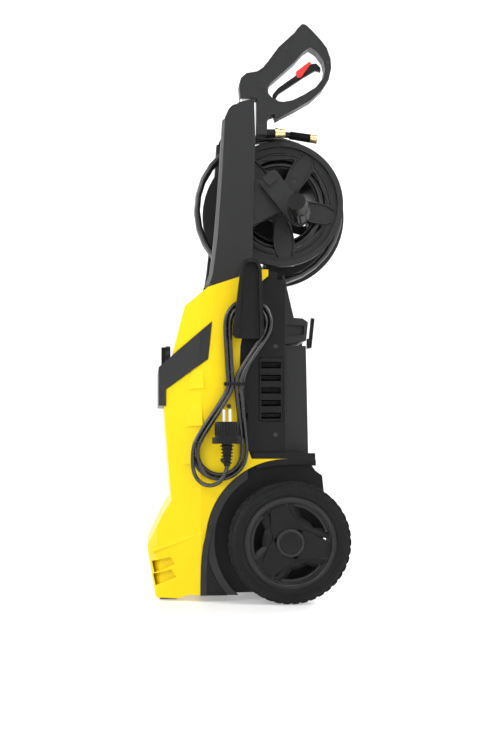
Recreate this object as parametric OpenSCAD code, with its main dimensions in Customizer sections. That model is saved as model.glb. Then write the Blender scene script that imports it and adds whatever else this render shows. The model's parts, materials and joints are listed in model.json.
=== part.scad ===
// Upright electric pressure washer on two wheels, with a hose reel between two handle arms.
// Millimetres. +Z is up, -Y is the front, +X is the machine's left side, where the cord hook is.
// The origin is on the floor, under the middle of the overall box.

/* [Overall] */
// Overall width over the two wheels
total_w = 410; // [400:1:500]
// Depth from the toe of the front cover to the back of the tyres
total_d = 315; // [300:1:380]
// Height of the housing's highest edge above the floor
body_h = 522; // [470:1:630]
// Width of the front cover
cover_w = 300; // [280:1:320]
// Width of the rear housing
housing_w = 270; // [260:1:276]
// Wall of the covers
wall = 3; // [2:0.5:4]

/* [Wheels] */
// Tyre diameter
wheel_d = 190; // [158:1:228]
// Tyre width
tyre_w = 48; // [40:1:52]
// Diameter of the steel axle
axle_d = 12; // [10:0.5:15]
// Gap between the tyre and the wheel arch
arch_gap = 34; // [28:1:41]

/* [Handle] */
// Height of the handle arms above the housing's highest edge
arm_h = 276; // [276:1:332]
// Thickness of each handle arm, sideways
arm_t = 34; // [32:1:38]
// Clear width between the two handle arms
arm_gap = 172; // [170:1:180]
// Diameter of the handle's cross grip
grip_d = 30; // [25:1:32]

/* [Reel] */
// Radius of the reel's crank-side flange
flange_near_r = 102; // [96:1:110]
// Radius of the reel's far flange
flange_far_r = 122; // [104:1:126]
// Width between the flanges
reel_w = 126; // [105:1:136]
// Radius of the drum that the hose is wound on
drum_r = 62; // [52:1:70]
// Diameter of the reel's shaft
shaft_d = 20; // [16:1:24]
// Diameter of the high-pressure hose
hose_d = 10; // [8:0.5:10]

/* [Crank] */
// Distance of the knob from the shaft
crank_r = 38; // [34:1:40]
// Radius of the knob at its foot
knob_r = 17; // [14:0.5:18]
// Length of the knob's grip
knob_len = 45; // [38:1:46]
// How far the folding knob leans from upright as it stands
knob_lean = 20; // [0:1:30]

/* [Gun] */
// Thickness of the spray gun's two shells together
gun_t = 30; // [26:1:34]
// Radius of the gun's barrel
barrel_r = 11; // [9:0.5:12]
// Depth of the holster bore in the handle arm
holster_depth = 104; // [90:1:110]

/* [Connections] */
// Radius of the garden-hose plug on the water inlet
inlet_r = 8.5; // [7.5:0.5:10]
// Radius of the threaded nipple on the gun
nipple_r = 7; // [6:0.5:8]
// Diameter of the mains cord
cord_d = 6.5; // [6:0.5:7]

/* [Hidden] */

yellow = [0.93, 0.79, 0.03];
black = [0.09, 0.09, 0.1];
grey_black = [0.16, 0.16, 0.17];
steel = [0.7, 0.7, 0.72];
brass = [0.8, 0.6, 0.25];
red = [0.8, 0.08, 0.06];

gap = 0.4;          // between fixed neighbours
run = 0.05;         // radial running clearance of a shaft in its bore
eps = 1;            // how far a cutting tool runs past a face
fine = 64;          // facets of round parts that carry no joint

wheel_r = wheel_d / 2;
front_y = -total_d / 2;
wheel_y = total_d / 2 - wheel_r;
wheel_z = wheel_r;
wheel_x = total_w / 2 - tyre_w;       // inner face of the left wheel
arch_r = wheel_r + arch_gap;
cover_x = cover_w / 2;
housing_x = housing_w / 2;
foot_h = 4;                           // rubber foot under the front toe

// Heights measured down from the housing's highest edge
function dz(v) = body_h - v;

arm_x0 = arm_gap / 2;                 // inner face of the left arm
arm_x1 = arm_x0 + arm_t;
arm_xc = arm_x0 + arm_t / 2;
arm_top = body_h + arm_h;
shaft_r = shaft_d / 2;
saddle_gap = 4;                       // between the swept hose loops and the housing's saddle
loop_offset = 14;                     // how far the loose hose loops hang forward of the shaft
loop_r = 120;                         // mean radius of the loose loops
loop_half = hose_d * 0.75;
sweep_r = loop_r + loop_half + loop_offset;
reel_y = 59;
reel_z = body_h + 116;
flange_t = 14;
flange_x = reel_w / 2;
crank_x = arm_x1 + 4;                 // inner face of the crank arm
crank_t = 8;
crank_angle = -52;                    // direction of the knob from the shaft, in the side plane
pivot_x = crank_x + crank_t + knob_r + 2;
knob_start = 5.5;                     // from the fold pivot to the foot of the grip

// Heights and depths above are set out from the middle of the housing. The far flange reaches further back than
// the housing, so the machine moves forward until the origin is under the middle of the overall box.
centre_y = -(reel_y + flange_far_r + front_y) / 2;
module placed() translate([0, centre_y, 0]) children();

// Extrudes a side outline of [y, z] points from x0 to x1.
module side(x0, x1) translate([x0, 0, 0]) rotate([90, 0, 90]) linear_extrude(x1 - x0) children();
// A cylinder along X.
module rod(x0, x1, r, y, z, fn = fine)
    translate([x0, y, z]) rotate([0, 90, 0]) cylinder(h = x1 - x0, r = r, $fn = fn);
module both_sides() {
    children();
    mirror([1, 0, 0]) children();
}

// ---------------------------------------------------------------- housing

// Where the front cover meets the rear housing, from the wheel arch up to the top.
split = [[6, dz(298)], [-15, dz(245)], [-12, dz(121)], [5, dz(32)], [32, dz(10)]];
toe = [[front_y + 37.5, dz(364)], [front_y + 23, dz(388)], [front_y, dz(436)], [front_y, dz(444)],
    [front_y + 12.5, foot_h + 2], [front_y + 17, foot_h], [front_y + 49, foot_h],
    [front_y + 64, foot_h + 6], [front_y + 84, foot_h + 6]];
nose = [[32, dz(0)], [22, dz(0)], [-18, dz(13)], [-63, dz(28)], [-99, dz(57)], [-120, dz(142)],
    [-131, dz(192)], [-131, dz(222)]];

module cover_outline() polygon(concat(nose, toe, [[wheel_y, foot_h + 6], [wheel_y, dz(298)]], split));

// Seen from above: the front corners are cut back.
module cover_plan(inset) {
    x = cover_x - inset;
    y = front_y - 5 + inset;
    polygon([[-x, 120], [-x, y + 88], [-x + 30, y + 20], [-x + 64, y], [x - 64, y], [x - 30, y + 20],
        [x, y + 88], [x, 120]]);
}

module wheel_arch(x0, r) both_sides() rod(x0, total_w, r, wheel_y, wheel_z, 96);

// The saddle in the housing's top that the reel's hose turns in.
module saddle() rod(-arm_x0 + gap, arm_x0 - gap, sweep_r + saddle_gap, reel_y, reel_z, 96);

// The holes in the top of the housing that the arms stand in.
module arm_holes(clear) both_sides() side(arm_x0 - clear, arm_x1 + clear) offset(delta = clear) arm_outline();

module front_cover() placed() color(yellow) difference() {
    intersection() {
        side(-cover_x, cover_x) cover_outline();
        linear_extrude(body_h + eps) cover_plan(0);
    }
    difference() {
        intersection() {
            side(-cover_x + wall, cover_x - wall) offset(delta = -wall) cover_outline();
            linear_extrude(body_h + eps) cover_plan(wall);
        }
        toe_backing();
    }
    // open at the back and underneath
    side(-cover_x + wall, cover_x - wall)
        polygon([[front_y + 86, foot_h - eps], [wheel_y + eps, foot_h - eps], [wheel_y + eps, dz(297)],
            [8, dz(297)], [-13, dz(244)], [-10, dz(122)], [8, dz(34)], [34, dz(12)], [34, dz(6)],
            [0, dz(20)], [-40, dz(150)], [-40, dz(300)], [front_y + 86, dz(420)]]);
    wheel_arch(cover_x - 40, arch_r);
    saddle();
    arm_holes(gap);
    side(-cover_x - eps, cover_x + eps) offset(delta = gap) band_outline();
    toe_slots();
    rotate([90, 0, 0]) translate([0, switch_z, -front_y - 100])
        cylinder(h = 160, r = switch_r + 2 * gap, $fn = fine);
}

// Two slanting recesses in each corner of the toe, and the thicker wall behind them.
recess = 5;
module toe_slots() both_sides() difference() {
    for (k = [0:1]) side(cover_x - 60, cover_x + eps)
        polygon([for (p = [[7, 461], [36, 453], [43, 464], [11, 479]])
            [front_y + p[0] + k * 2, dz(p[1] + k * 20)]]);
    translate([0, 0, -eps]) linear_extrude(body_h) cover_plan(recess);
}
module toe_backing() both_sides() difference() {
    side(cover_x - 70, cover_x) polygon([for (p = [[1, 455], [38, 446], [50, 466], [50, 482], [8, 506]])
        [front_y + p[0], dz(p[1])]]);
    translate([0, 0, -eps]) linear_extrude(body_h) cover_plan(recess + wall);
}

band_depth = 2;
// The dark band that crosses the cover from the front edge up to the shoulder.
module band_outline() polygon([[-140, dz(153)], [-57, dz(83)], [-63, dz(141)], [-129, dz(188)],
    [-129, dz(214)], [-140, dz(214)]]);
module front_band() placed() color(grey_black) difference() {
    intersection() {
        side(-cover_x - band_depth, cover_x + band_depth) band_outline();
        linear_extrude(body_h) cover_plan(-band_depth);
    }
    intersection() {
        side(-cover_x, cover_x) polygon([[-125, dz(250)], [-125, dz(120)], [-40, dz(20)], [-40, dz(250)]]);
        linear_extrude(body_h) cover_plan(wall);
    }
    rotate([90, 0, 0]) translate([0, switch_z, -front_y - 100])
        cylinder(h = 160, r = switch_r + 2 * gap, $fn = fine);
}

module housing_outline() polygon(concat(
    [[60, dz(294)], [60, dz(14)], [47, dz(14)], [47, dz(2)], [32 + gap, dz(2)], [32 + gap, dz(10)]],
    [for (k = [3:-1:0]) split[k] + [gap, 0]]));
module rear_housing() placed() color(black) difference() {
    side(-housing_x, housing_x) housing_outline();
    side(-housing_x + wall, housing_x - wall)
        polygon([[60 - wall, dz(300)], [60 - wall, dz(14) - wall], [34, dz(14) - wall], [6, dz(34)],
            [-30, dz(121)], [-30, dz(300)]]);
    wheel_arch(cover_x - 40, arch_r - 10);
    saddle();
    arm_holes(gap);
    both_sides() grille_window(gap, wall + 2 * eps);
    rod(housing_x - 8, housing_x + eps, gland_r + gap, gland_y, gland_z);
    translate([-feed_x, feed_y, dz(30)]) cylinder(h = 60, r = feed_r + 1, $fn = fine);
}

grille_y = [19, 56];
grille_z = [dz(238), dz(138)];
module grille_window(extra, depth) translate([housing_x - wall - eps, grille_y[0] - extra, grille_z[0] - extra])
    cube([depth, grille_y[1] - grille_y[0] + 2 * extra, grille_z[1] - grille_z[0] + 2 * extra]);
slat_n = 5;
module vent_grilles() placed() color(black) both_sides() {
    pitch = (grille_z[1] - grille_z[0]) / slat_n;
    difference() {
        grille_window(0, wall + eps + 2);
        for (k = [0:slat_n - 1]) translate([housing_x - wall - 2 * eps, grille_y[0] + 3, grille_z[0] + k * pitch + 3])
            cube([20, grille_y[1] - grille_y[0] - 6, pitch * 0.5]);
    }
}

trim_w = 14;
module arch_trims() placed() color(grey_black) both_sides() intersection() {
    difference() {
        rod(cover_x - 12, cover_x - 1, arch_r - gap, wheel_y, wheel_z, 96);
        rod(cover_x - 13, cover_x, arch_r - trim_w, wheel_y, wheel_z, 96);
    }
    translate([0, wheel_y - arch_r - eps, foot_h + 6]) cube([cover_x + eps, arch_r - 62, arch_r * 1.6]);
}

// The tray that carries the machine, with the axle's tube.
chassis_x = cover_x - 26;
chassis_top = dz(299);
module base_chassis() placed() color(black) difference() {
    union() {
        side(-chassis_x, chassis_x) polygon([[front_y + 88, foot_h + 6], [wheel_y + 50, foot_h + 10],
            [wheel_y + 60, wheel_z - 10], [wheel_y + 61, wheel_z + 76], [wheel_y + 58, chassis_top - 26],
            [wheel_y + 47, chassis_top - 18], [wheel_y + 40, chassis_top - 8], [wheel_y + 40, chassis_top],
            [front_y + 110, chassis_top], [front_y + 88, chassis_top - 60]]);
        rod(-wheel_x + 4, wheel_x - 4, axle_d / 2 + 8, wheel_y, wheel_z);
        // shelf over the wheels
        side(-housing_x - 6, housing_x + 6)
            polygon([[10, chassis_top - 14], [52, chassis_top - 10], [wheel_y + 46, chassis_top - 10],
                [wheel_y + 46, chassis_top], [10, chassis_top]]);
    }
    difference() {
        side(-chassis_x + wall, chassis_x - wall) polygon([[front_y + 88 + wall, foot_h + 6 + wall],
            [wheel_y + 50 - wall, foot_h + 10 + wall], [wheel_y + 56, wheel_z - 10],
            [wheel_y + 56, wheel_z + 76], [wheel_y + 36, chassis_top - 12], [wheel_y + 36, chassis_top + eps],
            [front_y + 112, chassis_top + eps], [front_y + 88 + wall, chassis_top - 62]]);
        rod(-wheel_x, wheel_x, axle_d / 2 + 8, wheel_y, wheel_z);
    }
    rod(-total_w, total_w, axle_d / 2 + 0.1, wheel_y, wheel_z, 96);
    translate([inlet_x, wheel_y + 40, inlet_z]) rotate([-90, 0, 0])
        cylinder(h = 40, r = inlet_r + 7 + gap, $fn = fine);
}

column_x = 92;
module rear_column() placed() color(grey_black) difference() {
    side(-column_x, column_x) polygon([[60 + gap, chassis_top + gap], [102, chassis_top + gap], [98, dz(116)],
        [60 + gap, dz(116)]]);
    side(-column_x + wall, column_x - wall)
        polygon([[63 + gap, chassis_top + 4], [98, chassis_top + 4], [95, dz(120)], [63 + gap, dz(120)]]);
}
// The bracket at the top of the column, with its tapered fin and the channel in its side.
module column_bracket() placed() color(grey_black) difference() {
    union() {
        side(-column_x - 4, column_x + 4) polygon([[60 + gap, dz(115)], [98, dz(108)], [101, dz(78)],
            [92, dz(72)], [60 + gap, dz(70)]]);
        both_sides() side(column_x - 12, column_x + 4)
            polygon([[60 + gap, dz(71)], [78, dz(71)], [62, dz(2)], [60 + gap, dz(2)]]);
    }
    both_sides() side(column_x - 6, column_x + 6) polygon([[66, dz(102)], [94, dz(98)], [94, dz(84)], [66, dz(82)]]);
}
module rear_hook() placed() color(black) both_sides() side(column_x - 22, column_x - 6)
    polygon([[101 + gap, dz(104)], [101 + gap, dz(120)], [108, dz(119)], [113, dz(72)], [108, dz(70)], [105, dz(104)]]);

// Hook that the mains cord hangs on: a neck on the housing's side and an arched plate in front of it.
hook_y = 1;
hook_neck = [[-9, dz(104)], [11, dz(104)], [10, dz(66)], [5, dz(59)], [-4, dz(59)], [-9, dz(66)]];
hook_foot = [[0, dz(104)], [11, dz(104)], [11, dz(82)], [0, dz(82)]];
hook_face = [[-26, dz(104)], [-13, dz(0)], [-9, dz(-9)], [-2, dz(-14)], [8, dz(-14)], [15, dz(-9)],
    [19, dz(0)], [23, dz(104)], [18, dz(110)], [-20, dz(110)]];
hook_out = 40;
module cord_hook() placed() color(black) {
    side(cover_x + gap, housing_x + hook_out - 4) polygon(hook_neck);
    side(housing_x + 0.1, cover_x + gap + eps) polygon(hook_foot);
    difference() {
        side(housing_x + hook_out - 8, housing_x + hook_out + 8) polygon(hook_face);
        side(housing_x + hook_out - 4, housing_x + hook_out + 9)
            polygon([[-19, dz(112)], [-8, dz(1)], [-5, dz(-5)], [0, dz(-8)], [6, dz(-8)], [11, dz(-5)],
                [14, dz(1)], [17, dz(112)]]);
    }
}

module cover_screws() placed() color(steel) both_sides() {
    rod(cover_x + gap / 4, cover_x + 1, 3.5, -40, dz(300));
    rod(cover_x + gap / 4, cover_x + 1, 3.5, -30, dz(215));
    rod(housing_x + gap / 4, housing_x + 2, 3.5, 45, dz(120));
    rod(housing_x + gap / 4, housing_x + 2, 3.5, 45, dz(260));
}
module front_feet() placed() color(black) both_sides() translate([cover_x - 90, front_y + 20, 0]) cube([44, 27, foot_h - 0.1]);

// ---------------------------------------------------------------- wheels

axle_end = total_w / 2 - 12;
module wheel_axle() placed() color(steel) rod(-axle_end, axle_end, axle_d / 2, wheel_y, wheel_z, 96);
module axle_clips() placed() color(steel) both_sides() difference() {
    rod(axle_end - 5, axle_end - 3, axle_d / 2 + 5, wheel_y, wheel_z);
    rod(axle_end - 6, axle_end - 2, axle_d / 2, wheel_y, wheel_z, 96);
}
rim_r = wheel_r - 24;
rim_in = 3;                            // how far the rim's face is sunk in the tyre
module tyre(s) placed() color(black) mirror([s, 0, 0]) difference() {
    union() {
        rod(wheel_x + 6, wheel_x + tyre_w - 6, wheel_r, wheel_y, wheel_z, 96);
        rod(wheel_x, wheel_x + tyre_w, wheel_r - 4, wheel_y, wheel_z, 96);
    }
    rod(wheel_x - eps, wheel_x + tyre_w + eps, rim_r, wheel_y, wheel_z, 96);
    for (k = [0:35]) translate([0, wheel_y, wheel_z]) rotate([k * 10, 0, 0])
        for (row = [0, 1]) rotate([row * 5, 0, 0]) translate([wheel_x + 4 + row * (tyre_w / 2), -3, wheel_r - 2.5])
            cube([tyre_w / 2 - 8, 6, 6]);
}
spoke_angles = [107.5, -12.5, 227.5];
module rim(s) placed() color(grey_black) mirror([s, 0, 0]) translate([0, wheel_y, wheel_z]) difference() {
    union() {
        difference() {
            rod(wheel_x + 2, wheel_x + tyre_w - rim_in, rim_r - 0.1, 0, 0, 96);
            rod(wheel_x, wheel_x + tyre_w, rim_r - 7, 0, 0, 96);
        }
        intersection() {
            rod(wheel_x + tyre_w - 24, wheel_x + tyre_w - 12, rim_r - 6.5, 0, 0, 96);
            union() {
                for (a = spoke_angles) rotate([a, 0, 0]) side(0, total_w)
                    polygon([[0, -19], [rim_r, -14], [rim_r, 14], [0, 19]]);
                difference() {
                    rod(0, total_w, rim_r, 0, 0, 96);
                    rod(-eps, total_w + eps, rim_r - 14, 0, 0, 96);
                }
                rod(0, total_w, 29, 0, 0, 96);
            }
        }
        rod(wheel_x + 2, axle_end - 6, axle_d / 2 + 7, 0, 0);
    }
    rod(0, total_w, axle_d / 2 + run, 0, 0, 96);
    rod(axle_end - 6.5, total_w, axle_d / 2 + 7, 0, 0);
}
module hub_cap(s) placed() color(grey_black) mirror([s, 0, 0]) translate([0, wheel_y, wheel_z]) difference() {
    rod(wheel_x + tyre_w - 12 + 0.2, total_w / 2 - 2, 21, 0, 0);
    rod(wheel_x + tyre_w - 13, total_w / 2 - 6, axle_d / 2 + 10, 0, 0);
}

// ---------------------------------------------------------------- handle

arm_low = dz(36);                      // foot of the arms inside the housing
function arm_edge(front, z) = let (t = (z - dz(23)) / (arm_top - dz(23)))
    front ? -60 + 27 * sqrt(max(t, 0)) : 8 + 6 * t;
function arm_back(z) = 8 + 6 * (z - arm_low) / (arm_top - 60 - arm_low);
module arm_outline() polygon([[arm_edge(true, dz(23)) + 2, arm_low], [arm_edge(true, dz(-55)), dz(-55)],
    [arm_edge(true, dz(-145)), dz(-145)], [arm_edge(true, arm_top - 30), arm_top - 30],
    [-29, arm_top - 18], [-10, arm_top - 5], [12, arm_top], [14, arm_top - 60], [8, arm_low]]);
gun_y = 1;
module holster(s) translate([s * arm_xc, gun_y, arm_top - holster_depth])
    cylinder(h = holster_depth + 10, r = barrel_r + 0.5, $fn = 96);
module handle_arm(s) placed() color(grey_black) difference() {
    mirror([s < 0 ? 1 : 0, 0, 0]) side(arm_x0, arm_x1) arm_outline();
    if (s > 0) holster(1);
    rod(-grip_end - 0.1, grip_end + 0.1, grip_d / 2, grip_y, grip_z, 96);
}
grip_y = -13;
grip_end = arm_xc - barrel_r - 2.5;     // stops short of the holster
grip_z = arm_top - 17;
module handle_grip() placed() color(black) rod(-grip_end, grip_end, grip_d / 2 - 0.1, grip_y, grip_z, 96);

// ---------------------------------------------------------------- reel

bracket_t = 14;
module reel_bracket(s) placed() color(grey_black) mirror([s < 0 ? 1 : 0, 0, 0]) difference() {
    side(arm_x1 - 6 - bracket_t, arm_x1 - 6) polygon([[arm_back(reel_z + 34) + 0.2, reel_z + 34],
        [arm_back(reel_z - 42) + 0.2, reel_z - 42],
        [reel_y - 6, reel_z - shaft_r - 9], [reel_y + 8, reel_z - shaft_r - 7], [reel_y + shaft_r + 8, reel_z - 4],
        [reel_y + shaft_r + 8, reel_z + 5], [reel_y + 8, reel_z + shaft_r + 8], [reel_y - 4, reel_z + shaft_r + 9]]);
    rod(0, total_w, shaft_r + run, reel_y, reel_z, 96);
}
module reel_shaft() placed() color(steel) rod(-arm_x1 + 4, crank_x + crank_t - 2, shaft_r, reel_y, reel_z, 96);
module reel_drum() placed() color(black) difference() {
    rod(-flange_x, flange_x, drum_r, reel_y, reel_z, 96);
    rod(-flange_x - eps, flange_x + eps, drum_r - wall, reel_y, reel_z, 96);
}
opening_n = 5;
opening_a0 = 23;
// A rounded window between two spokes of a flange.
module window(r0, r1) hull() {
    translate([r0, 0]) circle(r = 8, $fn = 24);
    for (a = [-19, 19]) rotate(a) translate([r1 - 6, 0]) circle(r = 5, $fn = 24);
}
module flange(x0, r, sink) translate([0, reel_y, reel_z]) {
    difference() {
        rod(x0, x0 + flange_t, r, 0, 0, 96);
        rod(x0 + sink, x0 + flange_t + eps, r - 9, 0, 0, 96);
        for (k = [0:opening_n - 1]) rotate([opening_a0 + k * 360 / opening_n, 0, 0])
            side(x0 - eps, x0 + flange_t + eps) window(r * 0.38, r * 0.76);
        rod(x0 - eps, x0 + flange_t + eps, shaft_r, 0, 0, 96);
        for (k = [0:opening_n - 1]) rotate([opening_a0 + (k + 0.5) * 360 / opening_n, 0, 0])
            rod(x0 - eps, x0 + flange_t + eps, 3.6, r * 0.44, 0, 32);
    }
    difference() {
        rod(x0 + sink - 1, x0 + flange_t - 0.5, shaft_r + 8, 0, 0);
        rod(x0 - eps, x0 + flange_t + eps, shaft_r, 0, 0, 96);
    }
}
module reel_flange_near() placed() color(grey_black) flange(flange_x + 0.1, flange_near_r, 5);
module reel_flange_far() placed() color(grey_black) mirror([1, 0, 0]) flange(flange_x + 0.1, flange_far_r, 5);
module reel_screws() placed() color(steel) translate([0, reel_y, reel_z])
    for (k = [0:opening_n - 1]) rotate([opening_a0 + (k + 0.5) * 360 / opening_n, 0, 0])
        rod(flange_x + 1, flange_x + 4, 3.5, flange_near_r * 0.44, 0, 32);

coil_r = drum_r + 2 * hose_d;        // two layers of hose
module ring(x0, x1, r0, r1, y, z) difference() {
    rod(x0, x1, r1, y, z, 96);
    rod(x0 - eps, x1 + eps, r0, y, z, 96);
}
module hose_coil() placed() color(black) ring(-flange_x + 0.3, flange_x - 0.3, drum_r + 0.3, coil_r, reel_y, reel_z);
module hose_loops() placed() color(black)
    ring(-20, 10, loop_r - loop_half, loop_r + loop_half, reel_y - loop_offset, reel_z);
// The hose's free end lies along the top of the loops.
end_x = 30;
end_y = 78;
end_z = reel_z + 121;
module along_end(d0, d1, r0, r1) translate([end_x, end_y, end_z]) rotate([-98, 0, 0])
    translate([0, 0, d0]) cylinder(h = d1 - d0, r1 = r0, r2 = r1, $fn = 48);
module hose_sleeve() placed() color(black) along_end(0, 34, 6.5, 7);
module hose_nut() placed() color(brass) along_end(34.1, 46, 7, 7);

// ---------------------------------------------------------------- crank

module at_crank() translate([0, reel_y, reel_z]) rotate([crank_angle, 0, 0]) children();
module crank_arm() placed() color(grey_black) at_crank() difference() {
    union() {
        side(crank_x, crank_x + crank_t) hull() {
            translate([-40, -12]) circle(r = 5, $fn = 32);
            translate([-40, 12]) circle(r = 5, $fn = 32);
            translate([crank_r, 0]) circle(r = 15, $fn = 48);
        }
        translate([crank_x + crank_t - 1, -46, -9]) cube([8, 17, 18]);
        for (s = [-1, 1]) translate([0, 0, s * 8.6 - 2.5]) linear_extrude(5)
            polygon([[crank_x + 2, crank_r - 4.5], [pivot_x, crank_r - 4.5], [pivot_x + 4, crank_r],
                [pivot_x, crank_r + 4.5], [crank_x + 2, crank_r + 4.5]]);
    }
    rod(0, crank_x + crank_t - 2, shaft_r, 0, 0, 96);
    translate([pivot_x, crank_r, -30]) cylinder(h = 60, r = 2 + run, $fn = 48);
}
// The knob's frame: X along the knob, leaning towards the block on the arm's other end.
module at_knob() at_crank() translate([pivot_x, crank_r, 0]) rotate([0, 0, -knob_lean]) children();
knob_end = knob_start + knob_len;
module knob_stem() placed() color(steel) at_knob() {
    translate([0, 0, -5.8]) cylinder(h = 11.6, r = 4.3, $fn = 48);
    translate([0, 0, -11]) cylinder(h = 22, r = 2, $fn = 48);
    rod(0, knob_end - 4, 4, 0, 0, 96);
}
module knob_grip() placed() color(black) at_knob() difference() {
    union() {
        rod(knob_start, knob_start + knob_len * 0.55, knob_r, 0, 0);
        translate([knob_start + knob_len * 0.55, 0, 0]) rotate([0, 90, 0])
            cylinder(h = knob_len * 0.45, r1 = knob_r - 1, r2 = knob_r - 3, $fn = 64);
    }
    rod(knob_start - eps, knob_end - 3.8, 4 + run, 0, 0, 96);
    for (k = [0:9]) rotate([k * 36, 0, 0]) rod(knob_start - eps, knob_start + knob_len * 0.6, 2, knob_r + 0.6, 0, 32);
}

// ---------------------------------------------------------------- spray gun

// Points are [y, z] from the middle of the holster's mouth.
function gun(points) = [for (p = points) [gun_y + p[0], arm_top + p[1]]];
gun_outer = gun([[-11, 1], [-13, 22], [-10, 33], [-1, 41], [16, 44], [25, 50], [34, 61], [50, 83], [76, 107],
    [80, 113], [88, 121], [94, 120], [103, 112], [119, 95], [128, 83], [134, 66], [135, 51], [131, 33],
    [121, 17], [103, 0], [76, -16], [55, -27], [46, -32], [44, -24], [36, -27], [32, -36], [32, -57], [16, -57],
    [15.5, 1]]);
gun_hole = gun([[101, 84], [112, 77], [122, 63], [125, 50], [122, 35], [110, 20], [91, 8], [73, -1], [58, -4],
    [50, -3], [46, 0], [40, 2], [34, 9], [33, 18], [39, 27], [56, 42], [76, 60], [91, 77]]);
module gun_outline() difference() {
    polygon(gun_outer);
    polygon(gun_hole);
}
module gun_shell(x0, x1) difference() {
    side(x0, x1) gun_outline();
    translate([arm_xc, gun_y, arm_top - holster_depth]) cylinder(h = holster_depth + 33, r = barrel_r + 0.1, $fn = 96);
    side(arm_xc - 5, arm_xc + 5) polygon(gun([[32, -14], [52, -18], [58, -2], [46, 1], [38, 4]]));
    rod(arm_xc - 9.1, arm_xc + 9.1, 2.02, trigger_pivot[0], trigger_pivot[1], 48);
}
module gun_shell_left() placed() color(grey_black) gun_shell(arm_xc + 0.05, arm_xc + gun_t / 2);
module gun_shell_right() placed() color(grey_black) gun_shell(arm_xc - gun_t / 2, arm_xc - 0.05);
module gun_barrel() placed() color(steel) translate([arm_xc, gun_y, arm_top - holster_depth + 4])
    cylinder(h = holster_depth + 28, r = barrel_r, $fn = 96);
inlet_height = arm_top - 51;
module gun_rod(y0, y1, r) translate([arm_xc, gun_y + y0, inlet_height]) rotate([-90, 0, 0])
    cylinder(h = y1 - y0, r = r, $fn = 64);
module gun_inlet() placed() color(black) gun_rod(32.1, 46, 6);
module gun_nipple() placed() color(brass) {
    gun_rod(46.1, 50, nipple_r + 1);
    gun_rod(50, 62, nipple_r);
}
gun_screw_places = gun([[22, 20], [62, 82], [93, 108], [129, 60], [84, -8], [22, -44]]);
module gun_screws() placed() color(steel) for (p = gun_screw_places)
    rod(arm_xc + gun_t / 2 + 0.1, arm_xc + gun_t / 2 + 1.2, 2.2, p[0], p[1], 24);
trigger_pivot = gun([[45, -8]])[0];
lock_pivot = gun([[84, 39.5]])[0];
trigger_half = 4.6;
lock_half = 6.8;
module trigger_pin() placed() color(steel)
    rod(arm_xc - 9, arm_xc + 9, 2, trigger_pivot[0], trigger_pivot[1], 48);
module gun_trigger() placed() color(black) difference() {
    side(arm_xc - trigger_half, arm_xc + trigger_half) union() {
        polygon(gun([[41, 1], [42, 10], [50, 20], [65, 31], [82, 43], [104, 60], [112, 61], [119, 54], [119, 48],
            [111, 50], [91, 38], [69, 23], [51, 11], [46, 2], [48, -6], [44, -8]]));
        translate(trigger_pivot) circle(r = 5, $fn = 32);
    }
    rod(arm_xc - 5, arm_xc + 5, 2 + run, trigger_pivot[0], trigger_pivot[1], 48);
    rod(arm_xc - 5, arm_xc + 5, 1.5 + run, lock_pivot[0], lock_pivot[1], 48);
}
// The lock straddles the trigger and turns on a pin through it.
module trigger_lock() placed() color(red) {
    difference() {
        side(arm_xc - lock_half, arm_xc + lock_half)
            polygon(gun([[82, 36.5], [87.5, 38], [103.6, 60.3], [101, 63.5], [79, 46.5], [80.5, 38]]));
        side(arm_xc - trigger_half - gap, arm_xc + trigger_half + gap)
            polygon(gun([[70, 36.3], [81.5, 43.5], [104, 61], [110, 50], [90, 30]]));
    }
    rod(arm_xc - lock_half, arm_xc + lock_half, 1.5, lock_pivot[0], lock_pivot[1], 48);
}

// ---------------------------------------------------------------- inside

motor_y = 5;
module motor() placed() color(steel) translate([0, motor_y, dz(292)]) {
    cylinder(h = 120, r = 50, $fn = 96);
    translate([0, 0, 120]) cylinder(h = 10, r = 42, $fn = 96);
}
module pump() placed() color(steel) translate([0, motor_y, dz(293)]) {
    translate([-34, -30, -70]) cube([68, 60, 69.8]);
    translate([0, 0, -100]) cylinder(h = 30, r = 26, $fn = 64);
}
inlet_x = 52;
inlet_z = wheel_z + 46;
inlet_y = wheel_y + 60;
module water_inlet() placed() color(black) translate([inlet_x, 0, inlet_z]) rotate([-90, 0, 0]) {
    translate([0, 0, wheel_y + 30]) cylinder(h = 34, r = inlet_r + 6, $fn = 64);
    translate([0, 0, inlet_y + 4]) cylinder(h = 20, r = inlet_r, $fn = 96);
}
switch_r = 22;
switch_z = dz(134);
switch_front = front_y + 30;
module switch_box() placed() color(black) translate([-26, switch_front + 22, switch_z - 26]) difference() {
    cube([52, 40, 52]);
    translate([26, -eps, 26]) rotate([-90, 0, 0]) cylinder(h = 12, r = 4 + run, $fn = 48);
}
module switch_knob() placed() color(black) translate([0, switch_front, switch_z]) rotate([-90, 0, 0]) {
    cylinder(h = 8, r = switch_r, $fn = 64);
    cylinder(h = 31, r = 4, $fn = 48);
    translate([-4, -switch_r + 2, -7]) cube([8, 2 * switch_r - 4, 8]);
}

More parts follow.
